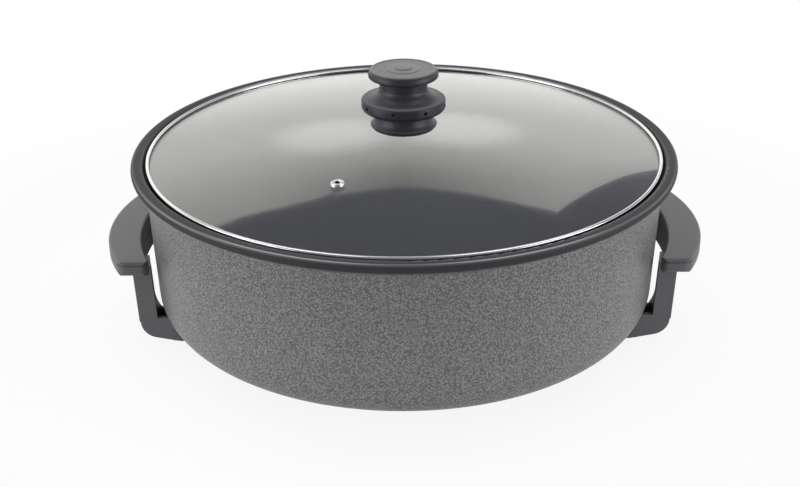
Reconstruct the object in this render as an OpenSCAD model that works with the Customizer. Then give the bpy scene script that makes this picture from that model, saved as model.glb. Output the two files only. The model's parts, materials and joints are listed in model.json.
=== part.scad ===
// Electric pizza pan with a lift-off glass lid, standing on the legs of its two handles.
// Millimetres. The origin is on the table under the middle of the pan, +X runs through the handles.

/* [Pan] */
// Outer diameter over the rim bead
rim_d = 400; // [360:1:440]
// Height of the pan from its underside to the top of the bead
pan_h = 122.8; // [110:0.1:140]
// Height of the pan's underside above the table
floor_gap = 12.3; // [11:0.1:20]
// Width of the rim bead
bead_w = 9.4; // [7.6:0.1:11]
// Height of the rim bead
bead_h = 7.2; // [6:0.1:7.4]
// Drop from the top of the bead to the lid seat
seat_drop = 7.5; // [6.6:0.1:9]
// Width of the lid seat
seat_w = 3.4; // [2.8:0.1:5]
// Thickness of the wall
wall_t = 3.5; // [2.5:0.1:5]
// Draft of the wall in degrees
wall_draft = 1.95; // [1:0.05:4]
// Radius of the outer bottom corner
corner_r = 24; // [18:0.5:30]
// Radius of the inner bottom corner
inner_corner_r = 18; // [10:0.5:24]
// Thickness of the ring that the pan's underside forms round the recess
base_ring_t = 6.5; // [5.5:0.1:9]
// Width of that ring, from the edge of the flat base to the recess
base_ring_w = 35.6; // [32:0.1:44]
// Depth of the recess in the underside
recess_h = 3; // [2:0.1:4]

/* [Lid] */
// Gap between the lid ring and the bead
lid_gap = 1.2; // [0.8:0.1:2]
// Sheet thickness of the steel lid ring
ring_t = 0.5; // [0.3:0.1:0.6]
// How far the ring laps over the top of the glass
ring_lap = 3; // [2:0.1:5]
// Thickness of the liner between ring and glass
ring_seal_t = 0.3; // [0.2:0.05:0.5]
// Thickness of the glass
glass_t = 4; // [3:0.1:4.2]
// Rise of the glass dome above its edge
dome_rise = 17; // [10:0.5:30]
// Distance of the vent eyelet from the middle of the lid
vent_r = 106; // [60:1:150]
// Direction of the vent eyelet in degrees
vent_angle = 245; // [0:1:360]
// Flange diameter of the vent eyelet
vent_d = 8.2; // [7:0.1:12]
// Bore of the vent eyelet
vent_bore_d = 3.2; // [2:0.1:4]

/* [Knob] */
// Foot diameter of the knob
knob_foot_d = 48.8; // [44:0.2:54]
// Waist diameter between the foot and the skirt
knob_waist_d = 41.2; // [38:0.2:43]
// Skirt diameter of the knob
knob_skirt_d = 61.6; // [56:0.2:72]
// Neck diameter of the knob
knob_neck_d = 35; // [30:0.5:38]
// Cap diameter of the knob
knob_cap_d = 51.2; // [46:0.2:58]
// Height of the foot up to the waist
knob_foot_h = 9.5; // [7:0.5:12]
// Height of the skirt from the waist to its upper edge
knob_skirt_h = 11.5; // [10:0.5:15]
// Height of the skirt's upright side
knob_side_h = 5.8; // [5:0.1:7]
// Height of the cone from the skirt's edge to the neck
knob_cone_h = 8.5; // [6:0.5:11]
// Height of the neck
knob_neck_h = 6.5; // [4:0.5:9]
// Height of the cap
knob_cap_h = 8.2; // [7:0.1:11]
// Number of air holes round the skirt
knob_hole_count = 8; // [4:1:10]
// Diameter of the air holes
knob_hole_d = 3; // [2:0.1:4]
// Drop from the skirt's edge to the air holes
knob_hole_drop = 3.5; // [3:0.1:4]
// Depth of the air holes
knob_hole_depth = 6; // [3:0.5:8]
// Thickness of the soft washers at the knob
knob_seal_t = 1; // [0.5:0.1:2]
// Diameter of the steel washer under the glass
knob_washer_d = 22; // [18:0.5:28]
// Thread diameter of the knob screw
knob_screw_d = 5; // [4:0.5:6]

/* [Handles] */
// Height of the grip's top above the table
grip_z = 74; // [66:0.5:90]
// Overall length of the grip
grip_l = 142; // [126:1:170]
// Reach of the grip's outer edge beyond the rim bead
grip_reach = 23; // [20:0.5:30]
// Width of the grip at its middle
grip_w = 25; // [22:0.5:28]
// Radius of the grip's outer edge
grip_outer_r = 146; // [130:1:170]
// Radius of the grip's inner edge
grip_inner_r = 161; // [146:1:180]
// Height of the grip's lower half
grip_h = 8.3; // [7:0.1:11]
// Thickness of the grip cover
cover_t = 2.6; // [2:0.1:4]
// Edge rounding of the grip
grip_edge_r = 2; // [1:0.1:2.5]
// Radius of the grip's outer corners in plan
grip_corner_r = 8; // [5:0.5:11]
// Width of the shadow line between the grip's two halves
parting_w = 0.6; // [0.4:0.1:1]
// Drop of the finger guard below the grip, between the legs
guard_h = 16.5; // [10:0.5:22]
// Thickness of the finger guard
guard_t = 3; // [2.4:0.1:4]
// Distance of a leg's outer side from the middle plane
leg_side = 57; // [52:0.5:62]
// Width of a leg along the grip
leg_d = 19; // [17:0.5:22]
// Distance of a leg's outer face from the pan wall
leg_reach = 10; // [9:0.5:14]
// Gap between a leg and the pan wall
leg_gap = 4; // [3:0.1:5]
// Height of the top of the arm above the table
arm_z = 21.4; // [20:0.1:28]
// Height of the arm's underside above the table at the pad
arm_lift = 1.6; // [1.2:0.1:2.4]
// Slope of the arm's underside in degrees
arm_slope = 10.7; // [6:0.1:14]
// Radius of the arm's outer bottom corner
arm_corner_r = 13; // [9:0.5:15]
// Height of the tongue's underside above the table
tongue_lift = 3.6; // [2.6:0.1:4.4]
// Distance of the handle screws inside the edge of the flat base, along the handles
handle_screw_in = 18.6; // [15.6:0.1:20.6]
// Thread diameter of the handle screws
handle_screw_d = 5; // [4:0.5:5]
// Distance of the foot pads outside the edge of the flat base, along the handles
pad_out = 7.4; // [4.4:0.1:9.4]
// Diameter of the foot pads
pad_d = 13; // [10:0.5:15]

/* [Heating] */
// Radius of the heating element's ring
element_r = 95; // [80:1:104]
// Diameter of the heating element's tube
tube_d = 6.6; // [6:0.1:7.4]
// Bend radius where the element turns to the inlet
bend_r = 14; // [10:1:20]
// How much thinner the element's tube is drawn in its bends
bend_draw = 0.06; // [0.05:0.01:0.2]
// Thickness of the ribs that hold the element
rib_t = 2.2; // [1.5:0.1:3]
// Height of the ribs that hold the element
rib_h = 3.6; // [2.5:0.1:5]
// Distance between the terminal pins
pin_pitch = 25; // [22:0.5:30]
// Diameter of the terminal pins
pin_d = 4; // [3:0.1:4.4]
// Diameter of the pins' shanks inside their bushes
shank_d = 3.2; // [2.4:0.1:3.4]
// Exposed length of the terminal pins
pin_l = 20; // [16:0.5:20]
// Outer diameter of the probe sleeve
sleeve_d = 6.6; // [6:0.1:8]
// Bore of the probe sleeve
sleeve_bore_d = 5.2; // [4:0.1:5.4]
// Distance of the probe sleeve's inner end from the middle of the pan
sleeve_start = 40; // [20:1:70]
// Height of the bottom cover above the table
shield_z = 6; // [4.6:0.1:6.4]
// Sheet thickness of the bottom cover
shield_t = 0.8; // [0.5:0.1:1]
// Width of the bottom cover's flange
shield_flange_w = 11; // [9:0.5:12]
// Thread diameter of the cover and inlet screws
small_screw_d = 3.5; // [3:0.1:4]

/* [Inlet] */
// Inner width of the inlet
inlet_w = 45; // [42:0.5:52]
// Wall thickness of the inlet housing
inlet_t = 2.4; // [2:0.1:3]
// Distance of the inlet's mouth inside the outer edge of the rim
inlet_in = 6; // [4:0.5:10]
// Height of the inlet's opening
inlet_h = 18; // [15:0.5:20]
// Height of the inlet housing above the table
inlet_z = 3; // [2.5:0.1:4]

/* [Clearances] */
// Gap between the pan and the mouldings under it
seat_gap = 0.3; // [0.2:0.05:0.5]
// Radial clearance round pins, screws and tubes
hole_gap = 0.2; // [0.1:0.05:0.3]

/* [Hidden] */
$fn = 96;
over = 1;
slot_w_share = 0.3;
slot_l_share = 1.2;

// Pan: heights and radii
rim_r = rim_d / 2;
bead_top = floor_gap + pan_h;
bead_mid = bead_top - bead_h / 2;
bead_in_r = rim_r - bead_w;
bead_round_r = bead_h / 2;
seat_z = bead_top - seat_drop;
wall_in_r = bead_in_r - seat_w;
wall_r = wall_in_r + wall_t;
inside_z = floor_gap + base_ring_t;
recess_z = floor_gap + recess_h;
base_r = wall_at(floor_gap + corner_r * (1 - sin(wall_draft))) - corner_r * cos(wall_draft);
recess_r = base_r - base_ring_w;
floor_skin = 2;
screw_depth = base_ring_t - floor_skin;

// Lid: heights and radii
ring_r = bead_in_r - lid_gap;
ring_z = seat_z + seat_gap;
glass_edge_r = ring_r - ring_t - ring_seal_t;
lap_r = ring_r - ring_lap;
dome_r = (lap_r * lap_r + dome_rise * dome_rise) / (2 * dome_rise);
glass_drop = dome_r - dome_rise - sqrt(pow(dome_r - glass_t, 2) - glass_edge_r * glass_edge_r);
ring_h = glass_drop + 2 * (ring_t + ring_seal_t);
glass_edge_top = ring_z + ring_h - ring_t - ring_seal_t;
apex_z = glass_edge_top + dome_rise;
dome_c = apex_z - dome_r;
knob_z = apex_z + knob_seal_t;
knob_waist_z = knob_z + knob_foot_h;
knob_edge_z = knob_waist_z + knob_skirt_h;
knob_split_z = knob_edge_z + knob_cone_h;
knob_cap_z = knob_split_z + knob_neck_h;
knob_top_z = knob_cap_z + knob_cap_h;
knob_bore_r = knob_screw_d / 2 + hole_gap;
glass_hole_gap = 1.5;
under_glass_z = apex_z - glass_t;
washer_t = 1.2;
seal_margin = 1.5;
insert_wall = 2;
insert_r = knob_screw_d / 2 + insert_wall;
insert_l = 12;
insert_drop = 4;
insert_z = knob_split_z - insert_drop;
insert_end = 3;
vent_wall = 0.7;
vent_flange_t = 0.6;
vent_gap = 0.05;
vent_lip = 1;
dome_fn = 720;
glass_alpha = 0.4;
vent_stem_d = vent_bore_d + 2 * vent_wall;

// Handles: heights and radii
grip_out_x = rim_r + grip_reach;
grip_in_x = grip_out_x - grip_w;
cover_z = grip_z - cover_t;
grip_bottom = cover_z - grip_h;
leg_mid = leg_side - leg_d / 2;
tongue_top = floor_gap - seat_gap;
handle_screw_x = base_r - handle_screw_in;
handle_head_h = 3;
handle_head_lip = 2;
handle_head_r = handle_screw_d / 2 + handle_head_lip;
handle_washer_t = 1;
washer_lip = 0.4;
handle_washer_r = handle_head_r + washer_lip;
head_sink = 0.4;
head_floor = tongue_lift + handle_head_h + handle_washer_t + head_sink;
pad_x = base_r + pad_out;
pad_seat = 1.6;
pad_land = 2;
pad_edge = 0.6;
pocket_wall = 3.5;
pocket_l = 9;
pocket_h = 9;
core_w = 11.2;
core_h = 4;
core_angle = 12;
grip_inner_corner_r = 4.8;
cover_land = 0.4;
cover_skin = 1;
guard_inset = 0.4;
grip_hole_h = cover_t - cover_skin;
grip_screw_r = 1.5;
grip_head_r = 3;
grip_head_h = 2;
grip_screw_angle = 16;

// Heating: heights and reaches
tube_r = tube_d / 2;
element_z = recess_z - tube_r;
pin_x = pin_pitch / 2;
bend_y = sqrt(pow(element_r + bend_r, 2) - pow(pin_x + bend_r, 2));
bend_angle = atan2(pin_x + bend_r, bend_y);
bend_lap = 1.5;
bush_l = 14;
inlet_y = rim_r - inlet_in;
pin_sink = 2;
pin_end = inlet_y - pin_sink;
bush_end = pin_end - pin_l;
tube_end = bush_end - bush_l;
channel_side = 6;
channel_w = pin_pitch + tube_d + 2 * channel_side;
sleeve_z = recess_z - sleeve_d / 2;
shield_r = recess_r + shield_flange_w;
shield_screw_r = recess_r + shield_flange_w / 2;
inlet_wall_y = shield_r + hole_gap + over;
inlet_outer_w = inlet_w + 2 * inlet_t;
inlet_mouth_l = 10;
ear_l = 9;
ear_t = 3;
earth_t = 0.8;
earth_blade_h = 5;
ear_top = floor_gap - earth_t;
ear_x = inlet_outer_w / 2 + ear_l / 2;
ear_y = inlet_wall_y + ear_l / 2;
small_head_h = 2.2;
cover_screw_count = 4;

// Distance of the pan's outer wall from the axis at a height
function wall_at(z) = wall_r - (seat_z - z) * tan(wall_draft);

// Height of the dome's upper face, moved down by depth, at a distance from the axis
function dome_at(r, depth) = dome_c + sqrt(pow(dome_r - depth, 2) - r * r);

// Half section of a bowl with its floor at z0, its wall at r0 at seat height, and a round corner
module bowl_section(z0, r0, corner, top) {
    centre_z = z0 + corner;
    touch_z = centre_z - corner * sin(wall_draft);
    touch_r = r0 - (seat_z - touch_z) * tan(wall_draft);
    centre_r = touch_r - corner * cos(wall_draft);
    polygon([
        [0, z0],
        [centre_r, z0],
        [touch_r, touch_z],
        [r0 + (top - seat_z) * tan(wall_draft), top],
        [0, top]
    ]);
    translate([centre_r, centre_z]) circle(r = corner);
}

// Solid of the pan's outside, grown by gap, to leave room round the pan
module pan_room(gap) {
    rotate_extrude()
        bowl_section(floor_gap - gap, wall_r + gap / cos(wall_draft), corner_r + gap, seat_z);
}

module ring(r_in, r_out, z, h) {
    translate([0, 0, z])
        difference() {
            cylinder(r = r_out, h = h);
            translate([0, 0, -over]) cylinder(r = r_in, h = h + 2 * over);
        }
}

// Copies at the four handle legs
module at_legs(x) {
    for (sx = [-1, 1], sy = [-1, 1])
        translate([sx * x, sy * leg_mid, 0]) children();
}

// Copies round the bottom cover's flange
module at_cover_screws() {
    for (i = [0:cover_screw_count - 1])
        rotate((i + 1 / 2) * 360 / cover_screw_count) translate([shield_screw_r, 0, 0]) children();
}

module at_inlet_ears() {
    for (sx = [-1, 1])
        translate([sx * ear_x, ear_y, 0]) children();
}

module at_pins() {
    for (sx = [-1, 1])
        translate([sx * pin_x, 0, 0]) children();
}

// Cylinder along +Y between two distances from the axis
module rod_y(r, z, y0, y1) {
    translate([0, y0, z]) rotate([-90, 0, 0]) cylinder(r = r, h = y1 - y0);
}

// Pan-head screw with its head down and its shank up
module screw(shank_r, head_r, head_h, shank_l) {
    slot_w = head_r * slot_w_share;
    slot_l = head_r * slot_l_share;
    difference() {
        union() {
            cylinder(r = head_r, h = head_h);
            translate([0, 0, head_h]) cylinder(r = shank_r, h = shank_l);
        }
        for (a = [0, 90])
            rotate(a)
                translate([-slot_l / 2, -slot_w / 2, -over]) cube([slot_l, slot_w, over + head_h / 2]);
    }
}

// Rim bead, lid seat and the blend down to the wall
module rim_section() {
    blend_r = bead_in_r + bead_w / 2;
    blend_z = bead_top - bead_h - (blend_r - wall_r);
    polygon([
        [wall_in_r, seat_z],
        [bead_in_r, seat_z],
        [bead_in_r, bead_mid],
        [blend_r, bead_mid],
        [blend_r, bead_top - bead_h],
        [wall_at(blend_z), blend_z],
        [wall_at(blend_z) - wall_t, blend_z]
    ]);
    translate([bead_in_r + bead_round_r, bead_mid]) circle(r = bead_round_r);
    translate([rim_r - bead_round_r, bead_mid]) circle(r = bead_round_r);
    translate([bead_in_r + bead_round_r, bead_top - bead_h]) square([bead_w - bead_h, bead_h]);
}

module pan_body() {
    color("dimgray")
        difference() {
            rotate_extrude()
                union() {
                    difference() {
                        bowl_section(floor_gap, wall_r, corner_r, seat_z);
                        bowl_section(inside_z, wall_in_r, inner_corner_r, seat_z + over);
                    }
                    rim_section();
                }
            translate([0, 0, floor_gap - over]) cylinder(r = recess_r, h = recess_h + over);
            translate([-channel_w / 2, 0, floor_gap - over]) cube([channel_w, inlet_y, recess_h + over]);
            at_legs(handle_screw_x)
                translate([0, 0, floor_gap - over]) cylinder(d = handle_screw_d, h = screw_depth + over);
            at_cover_screws()
                translate([0, 0, floor_gap - over]) cylinder(d = small_screw_d, h = screw_depth + over);
            at_inlet_ears()
                translate([0, 0, floor_gap - over]) cylinder(d = small_screw_d, h = screw_depth + over);
        }
    color("dimgray") element_ribs();
}

// Ribs under the floor on both sides of the heating element, open towards the inlet
module element_ribs() {
    rib_in = element_r - tube_r - hole_gap;
    rib_out = element_r + tube_r + hole_gap;
    difference() {
        union() {
            ring(rib_in - rib_t, rib_in, recess_z - rib_h, rib_h);
            ring(rib_out, rib_out + rib_t, recess_z - rib_h, rib_h);
        }
        translate([-pin_x - bend_r, 0, 0]) cube([2 * (pin_x + bend_r), recess_r, recess_z]);
    }
}

module heating_element() {
    color("slategray")
        translate([0, 0, element_z])
            union() {
                rotate(90 + bend_angle)
                    rotate_extrude(angle = 360 - 2 * bend_angle)
                        translate([element_r, 0]) circle(r = tube_r);
                for (side = [0, 1])
                    mirror([side, 0, 0]) {
                        translate([pin_x + bend_r, bend_y, 0])
                            rotate(180 - bend_lap)
                                rotate_extrude(angle = 90 - bend_angle + 2 * bend_lap)
                                    translate([bend_r, 0]) circle(r = tube_r - bend_draw);
                        translate([pin_x, bend_y, 0])
                            rotate([-90, 0, 0]) cylinder(r = tube_r, h = tube_end - bend_y);
                    }
            }
}

module terminal_bushes() {
    color("ivory")
        at_pins()
            difference() {
                rod_y(tube_r, element_z, tube_end, bush_end);
                rod_y(shank_d / 2, element_z, tube_end - over, bush_end + over);
            }
}

module terminal_pins() {
    tip = pin_d / 4;
    color("silver")
        at_pins()
            union() {
                rod_y(shank_d / 2, element_z, tube_end, bush_end + over);
                rod_y(pin_d / 2, element_z, bush_end, pin_end - tip);
                translate([0, pin_end - tip, element_z])
                    rotate([-90, 0, 0]) cylinder(r1 = pin_d / 2, r2 = pin_d / 2 - tip, h = tip);
            }
}

module probe_sleeve() {
    color("lightgray")
        difference() {
            rod_y(sleeve_d / 2, sleeve_z, sleeve_start, tube_end);
            rod_y(sleeve_bore_d / 2, sleeve_z, sleeve_start + wall_t, tube_end + over);
        }
}

module bottom_cover() {
    slope = shield_flange_w / 2;
    dish_r = recess_r - slope;
    color("silver")
        difference() {
            rotate_extrude()
                polygon([
                    [0, shield_z],
                    [dish_r, shield_z],
                    [recess_r, floor_gap - shield_t],
                    [shield_r, floor_gap - shield_t],
                    [shield_r, floor_gap],
                    [recess_r - shield_t, floor_gap],
                    [dish_r - shield_t, shield_z + shield_t],
                    [0, shield_z + shield_t]
                ]);
            translate([-channel_w / 2, dish_r - 2 * shield_t, shield_z + shield_t])
                cube([channel_w, shield_r, floor_gap]);
            at_cover_screws() cylinder(d = small_screw_d + 2 * hole_gap, h = floor_gap + over);
        }
}

module cover_screws() {
    color("silver")
        at_cover_screws()
            translate([0, 0, floor_gap - shield_t - small_head_h])
                screw(small_screw_d / 2, small_screw_d, small_head_h, shield_t + screw_depth - seat_gap);
}

module inlet_housing() {
    inside_bottom = inlet_z + inlet_t;
    color("darkslategray")
        difference() {
            union() {
                translate([-inlet_outer_w / 2, inlet_wall_y, inlet_z])
                    cube([inlet_outer_w, inlet_y - inlet_wall_y, inlet_h + 2 * inlet_t]);
                translate([-inlet_outer_w / 2 - ear_l, inlet_wall_y, ear_top - ear_t])
                    cube([inlet_outer_w + 2 * ear_l, ear_l, ear_t]);
            }
            translate([-inlet_w / 2, inlet_wall_y + ear_l, inside_bottom])
                cube([inlet_w, inlet_y, inlet_h]);
            translate([-inlet_w / 2, inlet_wall_y + ear_l, inside_bottom])
                cube([inlet_w, inlet_y - inlet_mouth_l - inlet_wall_y - ear_l, inlet_h + 2 * inlet_t]);
            pan_room(seat_gap + earth_t);
            at_pins() rod_y(tube_r + hole_gap, element_z, inlet_wall_y - over, inlet_y);
            rod_y(sleeve_d / 2 + hole_gap, sleeve_z, inlet_wall_y - over, inlet_y);
            at_inlet_ears() cylinder(d = small_screw_d + 2 * hole_gap, h = floor_gap);
        }
}

// Flat earth blade along one side of the inlet, clamped under an inlet screw
module earth_contact() {
    blade_x = inlet_w / 2 - earth_t - hole_gap;
    color("goldenrod")
        difference() {
            union() {
                translate([blade_x, inlet_wall_y, floor_gap - earth_t])
                    cube([ear_x + ear_l / 2 - blade_x, ear_l, earth_t]);
                translate([blade_x, inlet_wall_y + ear_l + hole_gap, floor_gap - earth_blade_h])
                    cube([earth_t, pin_end - inlet_wall_y - ear_l, earth_blade_h]);
                translate([blade_x, inlet_wall_y, floor_gap - earth_t])
                    cube([earth_t, ear_l + over, earth_t]);
            }
            at_inlet_ears() cylinder(d = small_screw_d + 2 * hole_gap, h = floor_gap + over);
        }
}

module inlet_screws() {
    shank_l = ear_t + earth_t + screw_depth - seat_gap;
    color("silver")
        at_inlet_ears()
            translate([0, 0, ear_top - ear_t - small_head_h])
                screw(small_screw_d / 2, small_screw_d, small_head_h, shank_l);
}

// Half section of a disc of radius r between two heights, with its upper and lower edges rounded
module disc_section(r, z0, z1, lower, upper) {
    difference() {
        translate([0, z0]) square([r, z1 - z0]);
        if (upper > 0)
            translate([r - upper, z1 - upper])
                difference() {
                    square(upper + over);
                    circle(r = upper);
                }
        if (lower > 0)
            translate([r - lower, z0 - over])
                difference() {
                    square([lower + over, lower + over]);
                    translate([0, lower + over]) circle(r = lower);
                }
    }
}

// Half section of the hollow behind a grip of radius r, flared over the grip's rounded edges
module hollow_section(r, z0, z1, lower, upper) {
    translate([0, z0 - over]) square([r, z1 - z0 + 2 * over]);
    if (upper > 0)
        difference() {
            translate([0, z1 - upper]) square([r + upper, upper + over]);
            translate([r + upper, z1 - upper]) circle(r = upper);
        }
    if (lower > 0)
        difference() {
            translate([0, z0 - over]) square([r + lower, lower + over]);
            translate([r + lower, z0 + lower]) circle(r = lower);
        }
}

// Prism over the part of an outline corner that lies outside its fillet
module corner_trim(centre, end_point, far_point, arc_point, r, z0, z1) {
    translate([0, 0, z0])
        linear_extrude(z1 - z0)
            difference() {
                polygon([centre, end_point, far_point, arc_point]);
                translate(centre) circle(r = r);
            }
}

// Crescent of the right-hand grip between two heights, with rounded edges
module crescent(z0, z1, lower, upper, inset) {
    half = grip_l / 2 - inset;
    out_c = grip_out_x - grip_outer_r;
    in_c = grip_in_x - grip_inner_r;
    out_r = grip_outer_r - inset;
    in_r = grip_inner_r + inset;
    fillet_y = half - grip_corner_r;
    fillet_x = out_c + sqrt(pow(out_r - grip_corner_r, 2) - fillet_y * fillet_y);
    arc_dir = [fillet_x - out_c, fillet_y] / (out_r - grip_corner_r);
    inner_y = half - grip_inner_corner_r;
    inner_x = in_c + sqrt(pow(in_r + grip_inner_corner_r, 2) - inner_y * inner_y);
    in_dir = [inner_x - in_c, inner_y] / (in_r + grip_inner_corner_r);
    difference() {
        translate([out_c, 0, 0]) rotate_extrude() disc_section(out_r, z0, z1, lower, upper);
        translate([in_c, 0, 0]) rotate_extrude() hollow_section(in_r, z0, z1, lower, upper);
        translate([out_c - 2 * rim_r, -rim_r, z0 - over])
            cube([2 * rim_r, 2 * rim_r, z1 - z0 + 2 * over]);
        for (side = [0, 1])
            mirror([0, side, 0]) {
                translate([out_c - over, half, z0 - over])
                    cube([2 * rim_r, rim_r, z1 - z0 + 2 * over]);
                corner_trim(
                    [fillet_x, fillet_y],
                    [fillet_x, half],
                    [fillet_x + 2 * grip_corner_r, half + over],
                    [fillet_x, fillet_y] + arc_dir * (grip_corner_r + over),
                    grip_corner_r, z0 - over, z1 + over
                );
                corner_trim(
                    [inner_x, inner_y],
                    [inner_x, half],
                    [inner_x - 2 * grip_inner_corner_r, half + over],
                    [inner_x, inner_y] - in_dir * (grip_inner_corner_r + over),
                    grip_inner_corner_r, z0 - over, z1 + over
                );
                end_round(half, upper, z1, 1);
                end_round(half, lower, z0, -1);
            }
    }
}

// Trim that rounds the straight end edge of a grip
module end_round(half, r, z, up) {
    if (r > 0)
        translate([0, half - r, z - up * r])
            rotate([90, 0, 90])
                linear_extrude(2 * rim_r)
                    difference() {
                        translate([0, up > 0 ? 0 : -r - over]) square([r + over, r + over]);
                        circle(r = r);
                    }
}

// Screw places in a grip, on the middle line of the crescent
module at_grip_screws() {
    mid_r = grip_outer_r - grip_w / 2;
    for (a = [-grip_screw_angle, grip_screw_angle])
        translate([grip_out_x - grip_outer_r, 0, 0]) rotate(a) translate([mid_r, 0, 0]) children();
}

// Outline of a leg and its arm, seen along the middle plane
module leg_outline() {
    top = grip_bottom + over;
    out_top = wall_at(top) + leg_reach;
    lean = atan2(out_top - wall_at(0) - leg_reach, top);
    slope_x = pad_x - pad_d / 4;
    run = wall_at(0) + leg_reach - slope_x + arm_lift * tan(lean);
    foot_x = slope_x + run / (1 - tan(lean) * tan(arm_slope));
    foot = [foot_x, arm_lift + (foot_x - slope_x) * tan(arm_slope)];
    half_turn = (90 + arm_slope - lean) / 2;
    reach = arm_corner_r / tan(half_turn);
    tangent_up = foot + reach * [sin(lean), cos(lean)];
    tangent_in = foot - reach * [cos(arm_slope), sin(arm_slope)];
    round_c = tangent_in + arm_corner_r * [-sin(arm_slope), cos(arm_slope)];
    pad_end = pad_x - pad_d / 2 - pad_land;
    difference() {
        polygon([
            [out_top, top],
            foot,
            [slope_x, arm_lift],
            [pad_end, arm_lift],
            [pad_end - (tongue_lift - arm_lift), tongue_lift],
            [handle_screw_x, tongue_lift],
            [handle_screw_x, arm_z],
            [wall_at(arm_z) - wall_t, arm_z],
            [wall_at(top) - wall_t, top]
        ]);
        difference() {
            polygon([round_c, tangent_up + [over, 0], foot + [over, -over], tangent_in + [0, -over]]);
            translate(round_c) circle(r = arm_corner_r);
        }
    }
}

// One leg with its arm and the tongue that is screwed to the pan's base
module leg() {
    pocket_w = leg_d - 2 * pocket_wall;
    pocket_x = wall_at(arm_z) - corner_r / 2;
    difference() {
        union() {
            translate([0, leg_side, 0]) rotate([90, 0, 0]) linear_extrude(leg_d) leg_outline();
            translate([handle_screw_x, leg_mid, tongue_lift])
                cylinder(d = leg_d, h = tongue_top - tongue_lift);
        }
        pan_room(seat_gap);
        intersection() {
            pan_room(leg_gap);
            translate([0, 0, arm_z]) cube([2 * rim_r, 2 * rim_r, pan_h]);
        }
        translate([pocket_x, leg_mid - pocket_w / 2, arm_z - pocket_h])
            cube([pocket_l, pocket_w, pocket_h + over]);
        translate([handle_screw_x, leg_mid, tongue_lift - over])
            cylinder(r = handle_washer_r + 2 * hole_gap, h = head_floor - tongue_lift + over);
        translate([handle_screw_x, leg_mid, 0])
            cylinder(d = handle_screw_d + 2 * hole_gap, h = floor_gap);
        translate([pad_x, leg_mid, -over])
            cylinder(d = pad_d + 2 * hole_gap, h = arm_lift + pad_seat + over);
    }
}

// Guard between the legs that keeps fingers off the pan wall, under the grip's inner edge
module finger_guard() {
    guard_r = grip_inner_r + guard_inset;
    guard_angle = asin(leg_mid / (guard_r + guard_t));
    translate([grip_in_x - grip_inner_r, 0, grip_bottom - guard_h])
        rotate(-guard_angle)
            rotate_extrude(angle = 2 * guard_angle)
                translate([guard_r, 0]) square([guard_t, guard_h + grip_edge_r + over]);
}

// Right-hand handle: lower half of the grip with two legs and a finger guard
module handle() {
    core_r = grip_outer_r - grip_w / 2;
    difference() {
        union() {
            crescent(grip_bottom, cover_z - parting_w, grip_edge_r, 0, 0);
            crescent(cover_z - parting_w - over, cover_z, 0, 0, parting_w);
            for (side = [0, 1])
                mirror([0, side, 0]) leg();
            finger_guard();
        }
        translate([grip_out_x - grip_outer_r, 0, grip_bottom - over])
            rotate(-core_angle)
                rotate_extrude(angle = 2 * core_angle)
                    translate([core_r - core_w / 2, 0]) square([core_w, core_h + over]);
        at_grip_screws() {
            translate([0, 0, grip_bottom - over]) cylinder(r = grip_head_r + hole_gap, h = core_h + over);
            translate([0, 0, grip_bottom]) cylinder(r = grip_screw_r + hole_gap, h = grip_h + over);
        }
    }
}

// Right-hand grip cover with blind holes for its screws
module grip_cover() {
    difference() {
        crescent(cover_z, grip_z, 0, min(grip_edge_r, cover_t - cover_land), 0);
        at_grip_screws()
            translate([0, 0, cover_z - over]) cylinder(r = grip_screw_r, h = over + grip_hole_h);
    }
}

module right_handle() {
    color("dimgray") handle();
}

module left_handle() {
    color("dimgray") mirror([1, 0, 0]) handle();
}

module right_grip_cover() {
    color("gray") grip_cover();
}

module left_grip_cover() {
    color("gray") mirror([1, 0, 0]) grip_cover();
}

module grip_screws() {
    head_top = grip_bottom + core_h;
    shank_l = cover_z + grip_hole_h - seat_gap - head_top;
    color("silver")
        for (side = [0, 1])
            mirror([side, 0, 0])
                at_grip_screws()
                    translate([0, 0, head_top - grip_head_h])
                        screw(grip_screw_r, grip_head_r, grip_head_h, shank_l);
}

module handle_screws() {
    head_z = head_floor - handle_washer_t - handle_head_h;
    color("silver")
        at_legs(handle_screw_x)
            translate([0, 0, head_z])
                screw(handle_screw_d / 2, handle_head_r, handle_head_h,
                      floor_gap + screw_depth - seat_gap - head_z - handle_head_h);
}

module handle_washers() {
    bore_r = handle_screw_d / 2 + hole_gap;
    color("silver")
        at_legs(handle_screw_x)
            ring(bore_r, handle_washer_r, head_floor - handle_washer_t, handle_washer_t);
}

module foot_pads() {
    r = pad_d / 2;
    h = arm_lift + pad_seat;
    color("black")
        at_legs(pad_x)
            rotate_extrude() polygon([[0, 0], [r - pad_edge, 0], [r, pad_edge], [r, h], [0, h]]);
}

// Half section between the dome's upper face moved down by depth and a floor, out to radius r
module dome_section(depth, r, z0) {
    intersection() {
        translate([0, dome_c]) circle(r = dome_r - depth, $fn = dome_fn);
        translate([0, z0]) square([r, apex_z + over - z0]);
    }
}

// Place of the vent eyelet, square to the dome's upper face
module vent_place() {
    rotate(vent_angle)
        translate([vent_r, 0, dome_at(vent_r, 0)])
            rotate([0, asin(vent_r / dome_r), 0]) children();
}

module glass_lid() {
    low = ring_z;
    color("lightsteelblue", glass_alpha)
        difference() {
            rotate_extrude()
                difference() {
                    dome_section(0, glass_edge_r, low);
                    dome_section(glass_t, glass_edge_r + over, low - over);
                }
            cylinder(r = knob_screw_d / 2 + glass_hole_gap, h = apex_z + over);
            vent_place()
                translate([0, 0, -glass_t - over])
                    cylinder(d = vent_stem_d + 2 * hole_gap, h = glass_t + 2 * over);
        }
}

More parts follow.
